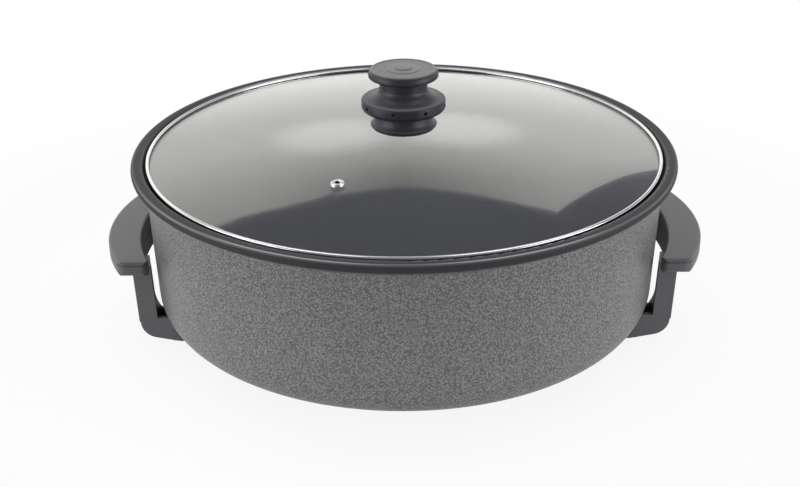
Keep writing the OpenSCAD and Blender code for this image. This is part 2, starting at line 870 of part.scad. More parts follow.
// Half section of the steel channel: a wall with two lips that reach in over the edge of the glass
module channel_section(r, z0, z1, t, lap) {
    difference() {
        union() {
            translate([r - lap, z0]) square([lap - t, z1 - z0]);
            translate([r - t, z0 + t]) square([t, z1 - z0 - 2 * t]);
            translate([r - t, z0 + t]) circle(r = t);
            translate([r - t, z1 - t]) circle(r = t);
        }
        translate([r - lap - over, z0 + t]) square([lap - t + over, z1 - z0 - 2 * t]);
    }
}

module lid_ring() {
    color("silver") rotate_extrude() channel_section(ring_r, ring_z, ring_z + ring_h, ring_t, ring_lap);
}

// Soft liner in the channel: a band round the edge of the glass and a strip under it
module lid_ring_seal() {
    bottom = ring_z + ring_t;
    color("black")
        union() {
            ring(glass_edge_r, ring_r - ring_t, bottom, ring_h - 2 * ring_t);
            ring(lap_r, glass_edge_r, bottom, ring_seal_t);
        }
}

module vent_eyelet() {
    flange_z = -glass_t - vent_flange_t - vent_gap;
    lip_d = vent_d - vent_lip;
    color("silver")
        vent_place()
            difference() {
                union() {
                    translate([0, 0, vent_gap])
                        cylinder(d1 = vent_d, d2 = lip_d, h = vent_flange_t);
                    translate([0, 0, flange_z]) cylinder(d = vent_stem_d, h = vent_flange_t - flange_z);
                    translate([0, 0, flange_z]) cylinder(d = lip_d, h = vent_flange_t);
                }
                translate([0, 0, flange_z - over]) cylinder(d = vent_bore_d, h = glass_t + 4 * over);
            }
}

// Points of an arc from angle a0 to a1
function arc(c, rx, ry, a0, a1, n) = [
    for (i = [0:n]) c + [rx * cos(a0 + (a1 - a0) * i / n), ry * sin(a0 + (a1 - a0) * i / n)]
];

module knob_base() {
    foot_r = knob_foot_d / 2;
    waist_r = knob_waist_d / 2;
    skirt_r = knob_skirt_d / 2;
    neck_r = knob_neck_d / 2;
    foot_edge = 1.2;
    foot_rim_h = 1.7;
    edge_r = 1.2;
    flare_turn = 54;
    flare_w = (skirt_r - waist_r) / (1 - cos(flare_turn));
    flare_h = (knob_skirt_h - knob_side_h) / sin(flare_turn);
    side_z = knob_edge_z - knob_side_h;
    hole_start = -104;
    profile = concat(
        [[0, knob_z]],
        arc([foot_r - foot_edge, knob_z + foot_edge], foot_edge, foot_edge, -90, 0, 3),
        arc([foot_r, knob_waist_z], foot_r - waist_r, knob_foot_h - foot_rim_h, -90, -180, 5),
        arc([skirt_r - flare_w, side_z], flare_w, flare_h, -flare_turn, 0, 6),
        arc([skirt_r - edge_r, knob_edge_z - edge_r], edge_r, edge_r, 0, 90, 3),
        arc([skirt_r - edge_r, knob_split_z], skirt_r - edge_r - neck_r, knob_cone_h, -90, -180, 6),
        [[0, knob_split_z]]
    );
    color("dimgray")
        difference() {
            rotate_extrude() polygon(profile);
            for (i = [0:knob_hole_count - 1])
                rotate(hole_start + i * 360 / knob_hole_count)
                    translate([skirt_r - knob_hole_depth, 0, knob_edge_z - knob_hole_drop])
                        rotate([0, 90, 0]) cylinder(d = knob_hole_d, h = knob_hole_depth + over);
            translate([0, 0, knob_z - over]) cylinder(r = knob_bore_r, h = knob_split_z);
            translate([0, 0, insert_z]) cylinder(r = insert_r + hole_gap, h = knob_split_z);
        }
}

// Cap of the knob: a lip under its edge, a rounded rim and a dished top with a button in the middle
module knob_cap() {
    neck_r = knob_neck_d / 2;
    cap_r = knob_cap_d / 2;
    neck_round_w = 2.4;
    neck_round_h = 1;
    lip_h = 2.1;
    dish = 0.8;
    rim_round_w = 9;
    button_r = 7.7;
    lip_z = knob_cap_z + lip_h;
    lip_in_r = neck_r + neck_round_w;
    top_r = cap_r - rim_round_w;
    insert_top = insert_z + insert_l + hole_gap;
    profile = concat(
        [[0, knob_split_z], [neck_r, knob_split_z]],
        arc([lip_in_r, knob_cap_z - neck_round_h], neck_round_w, neck_round_h, 180, 90, 3),
        arc([lip_in_r, lip_z], cap_r - lip_in_r, lip_h, -90, 0, 6),
        arc([top_r, lip_z], rim_round_w, knob_cap_h - lip_h, 0, 90, 7),
        [
            [top_r - dish, knob_top_z],
            [top_r - 2 * dish, knob_top_z - dish],
            [button_r + dish, knob_top_z - dish],
            [button_r, knob_top_z - dish / 4],
            [0, knob_top_z - dish / 4]
        ]
    );
    color("dimgray")
        difference() {
            rotate_extrude() polygon(profile);
            translate([0, 0, knob_split_z - over])
                cylinder(r = insert_r + hole_gap, h = insert_top - knob_split_z + over);
        }
}

module knob_insert() {
    color("goldenrod")
        difference() {
            translate([0, 0, insert_z]) cylinder(r = insert_r, h = insert_l);
            translate([0, 0, insert_z - over]) cylinder(d = knob_screw_d, h = insert_l - over);
        }
}

module knob_screw() {
    head_h = 3;
    head_z = under_glass_z - knob_seal_t - washer_t - head_h - seat_gap;
    shank_l = insert_z + insert_l - insert_end - head_z - head_h;
    color("silver")
        translate([0, 0, head_z])
            screw(knob_screw_d / 2, knob_screw_d, head_h, shank_l);
}

module knob_washer() {
    color("silver")
        ring(knob_bore_r, knob_washer_d / 2, under_glass_z - knob_seal_t - washer_t - seat_gap, washer_t);
}

module knob_seal_upper() {
    color("black") ring(knob_bore_r, knob_foot_d / 2 - seal_margin, apex_z, knob_seal_t);
}

module knob_seal_lower() {
    seal_z = under_glass_z - knob_seal_t - seat_gap;
    color("black")
        ring(knob_bore_r, knob_washer_d / 2 - seal_margin, seal_z, knob_seal_t);
}

pan_body();
heating_element();
terminal_bushes();
terminal_pins();
probe_sleeve();
bottom_cover();
cover_screws();
inlet_housing();
earth_contact();
inlet_screws();
left_handle();
right_handle();
left_grip_cover();
right_grip_cover();
grip_screws();
handle_screws();
handle_washers();
foot_pads();
glass_lid();
lid_ring();
lid_ring_seal();
vent_eyelet();
knob_base();
knob_cap();
knob_insert();
knob_screw();
knob_washer();
knob_seal_upper();
knob_seal_lower();
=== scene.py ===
import json
import math

import bmesh
import bpy
from mathutils import Matrix, Vector


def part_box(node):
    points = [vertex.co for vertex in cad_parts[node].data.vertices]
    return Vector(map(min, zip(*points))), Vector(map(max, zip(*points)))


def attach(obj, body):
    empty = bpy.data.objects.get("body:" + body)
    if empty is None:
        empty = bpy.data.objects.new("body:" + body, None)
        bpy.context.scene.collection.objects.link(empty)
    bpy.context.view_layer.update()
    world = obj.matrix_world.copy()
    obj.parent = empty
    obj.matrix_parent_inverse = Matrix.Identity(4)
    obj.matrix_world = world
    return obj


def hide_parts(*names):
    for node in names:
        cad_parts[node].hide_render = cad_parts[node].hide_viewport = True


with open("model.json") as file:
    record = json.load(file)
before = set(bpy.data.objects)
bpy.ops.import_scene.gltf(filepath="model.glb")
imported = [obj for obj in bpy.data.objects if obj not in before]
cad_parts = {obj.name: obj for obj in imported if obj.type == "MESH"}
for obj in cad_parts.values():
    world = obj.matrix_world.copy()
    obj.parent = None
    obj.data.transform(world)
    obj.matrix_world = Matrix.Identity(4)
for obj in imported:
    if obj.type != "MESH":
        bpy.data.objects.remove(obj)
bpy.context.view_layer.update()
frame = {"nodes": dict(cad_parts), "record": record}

# Electric pizza pan with a lift-off glass lid. The frame is in metres, profiles are in millimetres.
MM = 0.001
nodes = frame["nodes"]
scene = bpy.context.scene
scene.view_settings.view_transform = "Standard"

# Camera at the photograph's viewpoint, fitted to the ellipse of the rim
IMAGE_W = 800
FOCAL_PX = 1273.6
SENSOR_MM = 36.0
CAMERA_AT = Vector((0.0, -0.88446, 0.47824))
CAMERA_YAW = math.radians(-0.2254)
CAMERA_PITCH = math.radians(25.629)
CAMERA_ROLL = math.radians(-0.5)

# Radiance of the white surround at the table, where it is brightest, and under its upper edge in the middle
# and at the sides; of the room above it; and of the room behind the camera, with the Y where it fades
SURROUND_LOW = 1.42
SURROUND_BRIGHT = 1.62
SURROUND_HIGH = (0.75, 1.5)
ROOM = 0.42
FRONT = 0.28
FRONT_FADE = (-0.65, 0.05)

# Heights in the surround, as sines of elevations: where it brightens, where it fades, its upper edge
BRIGHT_FROM = math.sin(math.radians(14.0))
BRIGHT_AT = math.sin(math.radians(22.0))
FADE_FROM = math.sin(math.radians(25.0))
SURROUND_TOP = math.sin(math.radians(35.6))
ROOM_FROM = math.sin(math.radians(36.4))

# Sideways parts of a direction: where the surround's side begins, where its upper edge drops on the right
# and how far, how far it drops in the middle and how wide
SIDE_AT = 0.22
SHADE_FROM = 0.217
SHADE_AT = 0.333
SHADE_DROP = 0.252
MIDDLE_DROP = 0.022
MIDDLE_TO = 0.17

# Two soft glows in the surround, and the tints of surround and room
GLOWS = ((-0.092, 0.923, 0.373), (0.07, 0.933, 0.353))
GLOW = 0.55
GLOW_EDGE = math.cos(math.radians(5.8))
WARM_WHITE = (1.0, 0.992, 0.965)
COOL_ROOM = (0.95, 0.95, 1.06)

# Floor: how much plain white the camera sees near the pan and reflections see, and its paint near and far
FLOOR_R = 5.0
FLOOR_WHITE = 0.88
FLOOR_MIRRORED = 0.5
TABLE_R = (0.24, 0.55)
TABLE_WHITE = (0.9, 0.94)
BEYOND_GREY = (0.13, 0.15)
FLOOR_BLOTCH = 0.4

# Soft lamps, one of each on either side: name, place on the right, width, height and radiance
LAMPS = (
    ("top_softbox", (0.75, 0.25, 1.8), 0.8, 1.1, 3.0),
    ("side_softbox", (1.5, -0.7, 0.35), 1.2, 0.7, 5.6),
)
LAMP_TARGET = Vector((0.0, 0.0, 0.1))

# Pan, lid and knob, in millimetres
BEAD_LOW = 127.6
DOME_R = 1030.41
VENT_R = 106.0
VENT_ANGLE = 245.0
VENT_FLANGE_R = 4.9
VENT_BORE_R = 1.6
VENT_STEM_R = 2.3
FOOT_R = 24.4
WAIST_R = 20.6
NECK_R = 17.5
FOOT_H = 9.5
SKIRT_H = 11.5
SIDE_H = 5.8
CAP_H = 8.2
HOLE_R = 1.5
HOLE_COUNT = 8
HOLE_START = -104.0
HOLE_DROP = 3.5
HOLE_DEPTH = 6.0
HANDLE_EDGE = 0.8
COVER_EDGE = 0.5

# Edges sharper than this stay sharp in shading and are rounded on the grips
CREASE = math.radians(40.0)


def add_camera():
    """Camera without shift, turned by yaw, pitch and roll from the +Y direction."""
    forward = Vector((
        math.sin(CAMERA_YAW) * math.cos(CAMERA_PITCH),
        math.cos(CAMERA_YAW) * math.cos(CAMERA_PITCH),
        -math.sin(CAMERA_PITCH),
    ))
    level = Vector((math.cos(CAMERA_YAW), -math.sin(CAMERA_YAW), 0.0))
    upright = level.cross(forward)
    right = math.cos(CAMERA_ROLL) * level + math.sin(CAMERA_ROLL) * upright
    up = math.cos(CAMERA_ROLL) * upright - math.sin(CAMERA_ROLL) * level
    data = bpy.data.cameras.new("photo_camera")
    data.sensor_width = SENSOR_MM
    data.sensor_fit = "HORIZONTAL"
    data.lens = FOCAL_PX * SENSOR_MM / IMAGE_W
    data.clip_start = 0.01
    camera = bpy.data.objects.new("photo_camera", data)
    turn = Matrix((right, up, -forward)).transposed().to_4x4()
    camera.matrix_world = Matrix.Translation(CAMERA_AT) @ turn
    scene.collection.objects.link(camera)
    scene.camera = camera


def add_softbox(name, place, width, height, radiance):
    """Rectangular lamp that faces the pan."""
    data = bpy.data.lights.new(name, "AREA")
    data.shape = "RECTANGLE"
    data.size = width
    data.size_y = height
    data.energy = radiance * math.pi * width * height
    lamp = bpy.data.objects.new(name, data)
    lamp.location = place
    lamp.rotation_euler = (LAMP_TARGET - Vector(place)).to_track_quat("-Z", "Y").to_euler()
    lamp.visible_camera = False
    scene.collection.objects.link(lamp)


def add_lamps():
    """The soft lamps, mirrored left and right."""
    for side in (-1, 1):
        for name, (x, y, z), width, height, radiance in LAMPS:
            add_softbox(name, (side * x, y, z), width, height, radiance)


def grey(value, tone=(1.0, 1.0, 1.0)):
    return tuple(value * t for t in tone)


class Nodes:
    """Short calls that add nodes to a node tree."""

    def __init__(self, tree):
        self.tree = tree
        self.coords = self.add("TexCoord")

    def add(self, kind):
        return self.tree.nodes.new("ShaderNode" + kind)

    def link(self, output, socket):
        self.tree.links.new(output, socket)

    def feed(self, source, socket):
        """Sets a socket to a number or vector, or links it to an output."""
        if isinstance(source, (int, float, tuple)):
            socket.default_value = source
        else:
            self.link(source, socket)

    def place(self, stretch=(1.0, 1.0, 1.0)):
        scaled = self.add("Mapping")
        scaled.inputs["Scale"].default_value = stretch
        self.link(self.coords.outputs["Object"], scaled.inputs["Vector"])
        return scaled.outputs["Vector"]

    def parts(self, vector):
        split = self.add("SeparateXYZ")
        self.link(vector, split.inputs["Vector"])
        return split.outputs

    def noise(self, size, detail=2.0):
        """Soft noise whose blotches are about size metres wide."""
        node = self.add("TexNoise")
        node.inputs["Scale"].default_value = 1.0 / size
        node.inputs["Detail"].default_value = detail
        self.link(self.place(), node.inputs["Vector"])
        return node.outputs["Fac"]

    def cells(self, size):
        """Smoothed distance to the nearest of random points about size metres apart."""
        node = self.add("TexVoronoi")
        node.feature = "SMOOTH_F1"
        node.inputs["Scale"].default_value = 1.0 / size
        self.link(self.place(), node.inputs["Vector"])
        return node.outputs["Distance"]

    def span(self, source, low, high, start=0.0, end=1.0, kind="LINEAR"):
        """Maps start..end of a source to low..high."""
        node = self.add("MapRange")
        node.interpolation_type = kind
        for name, value in zip(("From Min", "From Max", "To Min", "To Max"), (start, end, low, high)):
            self.feed(value, node.inputs[name])
        self.link(source, node.inputs["Value"])
        return node.outputs["Result"]

    def math(self, operation, first, second):
        node = self.add("Math")
        node.operation = operation
        self.feed(first, node.inputs[0])
        self.feed(second, node.inputs[1])
        return node.outputs["Value"]

    def mix(self, factor, first, second):
        """The first number where the factor is zero, the second where it is one."""
        rest = self.math("SUBTRACT", 1.0, factor)
        return self.math("ADD", self.math("MULTIPLY", first, rest), self.math("MULTIPLY", second, factor))

    def vector_math(self, operation, *vectors):
        node = self.add("VectorMath")
        node.operation = operation
        for vector, socket in zip(vectors, node.inputs):
            self.feed(vector, socket)
        return node.outputs

    def tint(self, source, stops):
        """Colour ramp over a source; stops are (place, colour)."""
        node = self.add("ValToRGB")
        ramp = node.color_ramp
        while len(ramp.elements) < len(stops):
            ramp.elements.new(0.5)
        for element, (place, colour) in zip(ramp.elements, stops):
            element.position = place
            element.color = (*colour, 1.0)
        self.link(source, node.inputs["Fac"])
        return node.outputs["Color"]

    def mottle(self, source, low, high, tone=(1.0, 1.0, 1.0)):
        """Greys from low to high over the middle of a noise."""
        return self.tint(source, [(0.3, grey(low, tone)), (0.7, grey(high, tone))])

    def blend(self, factor, first, second):
        """Mixes two colours."""
        node = self.add("MixRGB")
        self.link(factor, node.inputs["Fac"])
        self.link(first, node.inputs["Color1"])
        self.link(second, node.inputs["Color2"])
        return node.outputs["Color"]

    def seen(self, direct, mirrored):
        """One value for camera rays, another for glossy and transmission rays, else zero."""
        path = self.add("LightPath").outputs
        glossy = self.math("MAXIMUM", path["Is Glossy Ray"], path["Is Transmission Ray"])
        return self.math("MAXIMUM", self.math("MULTIPLY", path["Is Camera Ray"], direct),
                         self.math("MULTIPLY", glossy, mirrored))


class Shader(Nodes):
    """A material around one Principled shader, with textures in object space."""

    def __init__(self, name, **values):
        self.material = bpy.data.materials.new(name)
        self.material.use_nodes = True
        super().__init__(self.material.node_tree)
        self.bsdf = self.tree.nodes["Principled BSDF"]
        for socket, value in values.items():
            self.bsdf.inputs[socket.replace("_", " ")].default_value = value

    def drive(self, socket, output):
        self.link(output, self.bsdf.inputs[socket])

    def bump(self, height, depth, strength=1.0):
        """Bump whose full height is depth metres."""
        node = self.add("Bump")
        node.inputs["Strength"].default_value = strength
        node.inputs["Distance"].default_value = depth
        self.link(height, node.inputs["Height"])
        self.drive("Normal", node.outputs["Normal"])


def edge_height(sky, direction):
    """Height in the surround, raised on the right and in the middle, where its upper edge drops."""
    aside = sky.math("ABSOLUTE", direction["X"], 0.0)
    shade = sky.span(direction["X"], 0.0, SHADE_DROP, SHADE_FROM, SHADE_AT)
    middle = sky.span(aside, MIDDLE_DROP, 0.0, 0.0, MIDDLE_TO)
    return sky.math("ADD", direction["Z"], sky.math("ADD", shade, middle))


def surround(sky, direction, height):
    """Radiance of the white surround, which brightens and fades with the height and has the glows."""
    rise = sky.span(direction["Z"], SURROUND_LOW, SURROUND_BRIGHT, BRIGHT_FROM, BRIGHT_AT, "SMOOTHSTEP")
    aside = sky.math("ABSOLUTE", direction["X"], 0.0)
    upper = sky.span(aside, *SURROUND_HIGH, 0.0, SIDE_AT)
    fall = sky.span(height, SURROUND_BRIGHT, upper, FADE_FROM, SURROUND_TOP)
    light = sky.math("MINIMUM", rise, fall)
    for place in GLOWS:
        near = sky.vector_math("DOT_PRODUCT", sky.coords.outputs["Generated"], place)["Value"]
        light = sky.math("ADD", light, sky.span(near, 0.0, GLOW, GLOW_EDGE, 1.0, "SMOOTHSTEP"))
    return light


def add_world():
    """White surround behind and beside the table, a dim room above it and behind the camera."""
    world = bpy.data.worlds.new("studio")
    world.use_nodes = True
    scene.world = world
    sky = Nodes(world.node_tree)
    background = world.node_tree.nodes["Background"]
    direction = sky.parts(sky.coords.outputs["Generated"])
    height = edge_height(sky, direction)
    room = sky.span(height, 0.0, 1.0, SURROUND_TOP, ROOM_FROM, "SMOOTHSTEP")
    beyond = sky.mix(room, surround(sky, direction, height), ROOM)
    ahead = sky.span(direction["Y"], 0.0, 1.0, *FRONT_FADE, "SMOOTHSTEP")
    light = sky.mix(ahead, FRONT, beyond)
    camera = sky.add("LightPath").outputs["Is Camera Ray"]
    sky.link(sky.tint(room, [(0.0, WARM_WHITE), (1.0, COOL_ROOM)]), background.inputs["Color"])
    sky.link(sky.mix(camera, light, 1.0), background.inputs["Strength"])


def add_floor():
    """Round white floor; what the camera and reflections see of it is mostly plain white."""
    bm = bmesh.new()
    bmesh.ops.create_circle(bm, cap_ends=True, segments=96, radius=FLOOR_R)
    mesh = bpy.data.meshes.new("floor")
    bm.to_mesh(mesh)
    bm.free()
    floor = bpy.data.objects.new("floor", mesh)
    shader = Shader("white_sweep", Roughness=0.9, Specular_IOR_Level=0.1)
    away = shader.vector_math("LENGTH", shader.coords.outputs["Object"])["Value"]
    table = shader.mottle(shader.noise(FLOOR_BLOTCH), *TABLE_WHITE)
    beyond = shader.mottle(shader.noise(FLOOR_BLOTCH), *BEYOND_GREY)
    shader.drive("Base Color", shader.blend(shader.span(away, 0.0, 1.0, *TABLE_R), table, beyond))
    white = shader.add("Emission")
    direct = shader.span(away, FLOOR_WHITE, 1.0, *TABLE_R)
    mix = shader.add("MixShader")
    output = shader.tree.nodes["Material Output"]
    shader.link(shader.seen(direct, FLOOR_MIRRORED), mix.inputs["Fac"])
    shader.link(shader.bsdf.outputs["BSDF"], mix.inputs[1])
    shader.link(white.outputs["Emission"], mix.inputs[2])
    shader.link(mix.outputs["Shader"], output.inputs["Surface"])
    mesh.materials.append(shader.material)
    scene.collection.objects.link(floor)


def outer_wall_mask(shader):
    """One on the pan's outside below the rim bead, zero inside and on the bead."""
    edge = 0.3 * MM
    height = shader.parts(shader.coords.outputs["Object"])["Z"]
    below = shader.span(height, 1.0, 0.0, BEAD_LOW * MM - edge, BEAD_LOW * MM + edge)
    away = shader.vector_math("NORMALIZE", shader.place((1.0, 1.0, 0.0)))["Vector"]
    normal = shader.coords.outputs["Normal"]
    facing = shader.vector_math("DOT_PRODUCT", away, normal)["Value"]
    outward = shader.math("SUBTRACT", facing, shader.parts(normal)["Z"])
    return shader.math("MULTIPLY", below, shader.math("GREATER_THAN", outward, 0.0))


def bead_highlight_mask(shader):
    """One on the shoulders of the rim bead that face front and back, between the handles: a gloss coat
    placed where the lamps' highlights fall, as a painted highlight.
    """
    rising = (0.5, 0.72)
    falling = (0.88, 0.97)
    facing = (0.2, 0.45)
    faint = 0.15
    height = shader.parts(shader.coords.outputs["Object"])["Z"]
    normal = shader.parts(shader.coords.outputs["Normal"])
    bead = shader.math("GREATER_THAN", height, BEAD_LOW * MM)
    outside = shader.span(normal["Z"], 0.0, 1.0, *rising)
    shoulder = shader.math("MULTIPLY", outside, shader.span(normal["Z"], 1.0, faint, *falling))
    between = shader.span(shader.math("ABSOLUTE", normal["Y"], 0.0), faint, 1.0, *facing)
    return shader.math("MULTIPLY", bead, shader.math("MULTIPLY", shoulder, between))


def pan_coat():
    """Hammertone paint on the outer wall, dark non-stick inside and over the rim bead."""
    pebble_size = 1.15 * MM
    pebble_edge = (0.1, 0.65)
    pebble_share = 0.7
    grain_size = 0.75 * MM
    fleck_size = 0.9 * MM
    relief_depth = 0.22 * MM
    coat_relief = 0.06
    coat_tone = (0.98, 1.0, 1.08)
    coat_rough = 0.55
    wall_rough = 0.36
    wall_metal = 0.45
    spread = 0.05
    # Weight of the gloss coat on the bead's shoulders: painted highlight.
    highlight_coat = 0.9
    shader = Shader("pan_coat", Specular_IOR_Level=0.08, Coat_Roughness=0.28, Coat_IOR=2.2)
    mask = outer_wall_mask(shader)
    pebbles = shader.span(shader.cells(pebble_size), pebble_share, 0.0, *pebble_edge)
    grain = shader.math("MULTIPLY", shader.noise(grain_size, 1.0), 1 - pebble_share)
    relief = shader.math("ADD", pebbles, grain)
    hammer = shader.tint(relief, [
        (0.25, grey(0.13)),
        (0.5, grey(0.203)),
        (0.8, grey(0.302)),
    ])
    fleck = shader.noise(fleck_size)
    coat = shader.mottle(fleck, 0.036, 0.05, coat_tone)
    uneven = shader.span(fleck, -spread, spread)
    rough = shader.math("ADD", shader.span(mask, coat_rough, wall_rough), uneven)
    # Gloss coat on the bead's front and back shoulders, where the lamps' highlights fall: painted highlight.
    shader.drive("Coat Weight", shader.math("MULTIPLY", bead_highlight_mask(shader), highlight_coat))
    shader.drive("Base Color", shader.blend(mask, coat, hammer))
    shader.drive("Metallic", shader.span(mask, 0.0, wall_metal))
    shader.drive("Roughness", rough)
    shader.bump(shader.math("MULTIPLY", relief, shader.span(mask, coat_relief, 1.0)), relief_depth, 0.8)
    return shader.material


def moulded(name, value, tone, rough, shine=0.5):
    """Satin moulded phenolic with a faint orange peel."""
    flow_size = 28 * MM
    peel_size = 1.1 * MM
    peel_depth = 0.03 * MM
    spread = 0.05
    drift = 0.04
    shader = Shader(name, Specular_IOR_Level=shine)
    flow = shader.noise(flow_size, 3.0)
    plain = shader.mottle(flow, value * 0.88, value * 1.1, tone)
    peel = shader.noise(peel_size)
    fine = shader.span(peel, rough - spread, rough + spread)
    gloss = shader.math("ADD", fine, shader.span(flow, -drift, drift))
    shader.drive("Base Color", plain)
    shader.drive("Roughness", gloss)
    shader.bump(peel, peel_depth, 0.5)
    return shader, plain, gloss


def handle_finish():
    return moulded("bakelite_satin", 0.1, (1.0, 0.975, 1.05), 0.45)[0].material


def air_hole_mask(shader):
    """One inside the knob's air holes, behind the upright side of its skirt, where shade is painted."""
    skirt_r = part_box("knob_base")[1].x
    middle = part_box("knob_base")[0].z + (FOOT_H + SKIRT_H - HOLE_DROP) * MM
    reach = 1.1 * HOLE_R * MM
    behind = 0.3 * MM
    away = shader.vector_math("LENGTH", shader.place((1.0, 1.0, 0.0)))["Value"]
    off = shader.math("SUBTRACT", shader.parts(shader.coords.outputs["Object"])["Z"], middle)
    level = shader.math("LESS_THAN", shader.math("ABSOLUTE", off, 0.0), reach)
    return shader.math("MULTIPLY", level, shader.math("LESS_THAN", away, skirt_r - behind))


def lit_cap_top_mask(shader):
    """One on the rings of the cap's top, a little less in its dish, zero further down: where the top is
    painted lighter, as painted light from above.
    """
    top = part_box("knob_cap")[1].z
    edge = 1.05 * MM
    height = shader.parts(shader.coords.outputs["Object"])["Z"]
    return shader.span(height, 0.0, 1.0, top - 2 * edge, top - edge, "SMOOTHSTEP")


def knob_finish():
    """The moulded finish, dull and painted near black inside the air holes as painted shade, and painted a
    lighter grey on top as painted light.
    """
    shader, plain, gloss = moulded("knob_satin", 0.024, (1.0, 0.97, 1.35), 0.42, 0.3)
    hole = air_hole_mask(shader)
    # Near black inside the air holes: painted shade.
    dark = shader.mottle(shader.noise(2 * MM), 0.004, 0.007)
    # Lighter grey on the cap's top: painted light from above.
    painted_top_light = shader.mottle(shader.noise(6 * MM), 0.125, 0.14)
    sides = shader.blend(hole, plain, dark)
    shader.drive("Base Color", shader.blend(lit_cap_top_mask(shader), sides, painted_top_light))
    shader.drive("Roughness", shader.math("MAXIMUM", gloss, hole))
    return shader.material


def vent_place():
    """Where the vent eyelet stands: its middle on the dome, its axis square to it."""
    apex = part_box("glass_lid")[1].z / MM
    lean = math.asin(VENT_R / DOME_R)
    height = apex - DOME_R * (1 - math.cos(lean))
    return (
        Matrix.Rotation(math.radians(VENT_ANGLE), 4, "Z")
        @ Matrix.Translation((VENT_R * MM, 0.0, height * MM))
        @ Matrix.Rotation(lean, 4, "Y")
    )


def bore_mask(shader):
    """One inside the vent eyelet's bore, where shade is painted."""
    lip = 0.3
    centre = tuple(vent_place().translation)
    axis = tuple(vent_place().to_3x3() @ Vector((0.0, 0.0, 1.0)))
    arm = shader.vector_math("SUBTRACT", shader.coords.outputs["Object"], centre)["Vector"]
    across = shader.vector_math("CROSS_PRODUCT", arm, axis)["Vector"]
    off = shader.vector_math("LENGTH", across)["Value"]
    return shader.math("LESS_THAN", off, (VENT_BORE_R + lip) * MM)


def metal(name, value, tone=(1.0, 1.0, 1.0), rough=(0.15, 0.28), hollow_shade=None):
    """Bare metal with a fine grain, painted near black as shade where a mask is one."""
    grain_size = 0.8 * MM
    cloud_size = 18 * MM
    grain_depth = 0.025 * rough[0] * MM
    shader = Shader(name, Metallic=1.0)
    grain = shader.noise(grain_size, 3.0)
    cloud = shader.noise(cloud_size)
    plain = shader.mottle(cloud, value * 0.92, value, tone)
    if hollow_shade:
        # Near black where the mask is one: painted shade in a hollow.
        plain = shader.blend(hollow_shade(shader), plain, shader.mottle(cloud, 0.03, 0.04))
    shader.drive("Base Color", plain)
    shader.drive("Roughness", shader.span(grain, *rough))
    shader.bump(grain, grain_depth, 0.4)
    return shader.material


def clear_glass():
    """Clear tempered glass, bright above and a little hazed by steam below."""
    smear_size = 35 * MM
    smear_haze = 0.012
    steam_haze = 0.08
    shader = Shader("clear_glass", IOR=1.5, Transmission_Weight=1.0, Base_Color=(0.93, 0.95, 0.945, 1.0))
    smears = shader.span(shader.noise(smear_size, 3.0), 0.0, smear_haze, 0.35, 0.75)
    under = shader.math("LESS_THAN", shader.parts(shader.coords.outputs["Normal"])["Z"], 0.0)
    shader.drive("Roughness", shader.math("ADD", smears, shader.math("MULTIPLY", under, steam_haze)))
    return shader.material


def dull(name, value, tone=(1.0, 1.0, 1.0), rough=(0.55, 0.75)):
    """Dull non-metal: rubber or unglazed ceramic."""
    spot_size = 1.5 * MM
    spot_depth = 0.04 * MM
    shader = Shader(name)
    spots = shader.noise(spot_size, 3.0)
    shader.drive("Base Color", shader.mottle(spots, value * 0.8, value * 1.15, tone))
    shader.drive("Roughness", shader.span(spots, *rough))
    shader.bump(spots, spot_depth, 0.5)
    return shader.material


FINISHES = {
    "hammertone": pan_coat(),
    "bakelite": handle_finish(),
    "knob": knob_finish(),
    "lid_glass": clear_glass(),
    "polished_steel": metal("polished_stainless", 0.6, rough=(0.12, 0.24), hollow_shade=bore_mask),
    "steel": metal("zinc_plated", 0.62, (1.0, 1.0, 0.98), (0.3, 0.45)),
    "element_steel": metal("element_tube", 0.3, (1.0, 0.97, 0.94), (0.4, 0.6)),
    "ceramic": dull("steatite", 0.72, (1.0, 0.96, 0.88), (0.35, 0.5)),
    "brass": metal("plain_brass", 0.75, (1.0, 0.78, 0.42), (0.25, 0.4)),
    "aluminium": metal("drawn_aluminium", 0.7, (1.0, 1.0, 1.0), (0.3, 0.4)),
    "rubber": dull("black_rubber", 0.03),
}


def arc(centre, rx, ry, start, end, steps):
    """Points of an elliptical arc between two angles in degrees."""
    turns = [math.radians(start + (end - start) * i / steps) for i in range(steps + 1)]
    return [(centre[0] + rx * math.cos(t), centre[1] + ry * math.sin(t)) for t in turns]


def run(*stretches):
    """One outline from several stretches, without doubled points."""
    points = []
    for point in (p for stretch in stretches for p in stretch):
        if not points or math.dist(points[-1], point) > 1e-4:
            points.append(point)
    return points


def bridge(bm, lower, upper):
    """Faces between two rings of points, either of which may be a single pole."""
    count = max(len(lower), len(upper))
    for i in range(count):
        j = (i + 1) % count
        near = [lower[i % len(lower)], lower[j % len(lower)]]
        far = [upper[j % len(upper)], upper[i % len(upper)]]
        bm.faces.new(list(dict.fromkeys(near + far)))


def lathe(profile, closed=False, steps=144):
    """Turns a profile of (radius, height) in millimetres round the Z axis."""
    bm = bmesh.new()
    turns = [2 * math.pi * i / steps for i in range(steps)]
    rings = []
    for radius, height in profile:
        around = turns if radius > 0 else turns[:1]
        rings.append([
            bm.verts.new((radius * MM * math.cos(t), radius * MM * math.sin(t), height * MM)) for t in around
        ])
    following = rings[1:] + rings[:1] if closed else rings[1:]
    for lower, upper in zip(rings, following):
        bridge(bm, lower, upper)
    bmesh.ops.recalc_face_normals(bm, faces=bm.faces)
    return bm


def smooth(mesh):
    """Smooth shading, with the sharp edges kept."""
    mesh.shade_smooth()
    mesh.set_sharp_from_angle(angle=CREASE)


def make_piece(name, bm, material_slot, body, replaced):
    """Object from a mesh that stands for a CAD node and moves with its body."""
    mesh = bpy.data.meshes.new(name)
    bm.to_mesh(mesh)
    bm.free()
    mesh.materials.append(FINISHES[material_slot])
    smooth(mesh)
    piece = bpy.data.objects.new(name, mesh)
    scene.collection.objects.link(piece)
    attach(piece, body)
    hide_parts(replaced)
    return piece


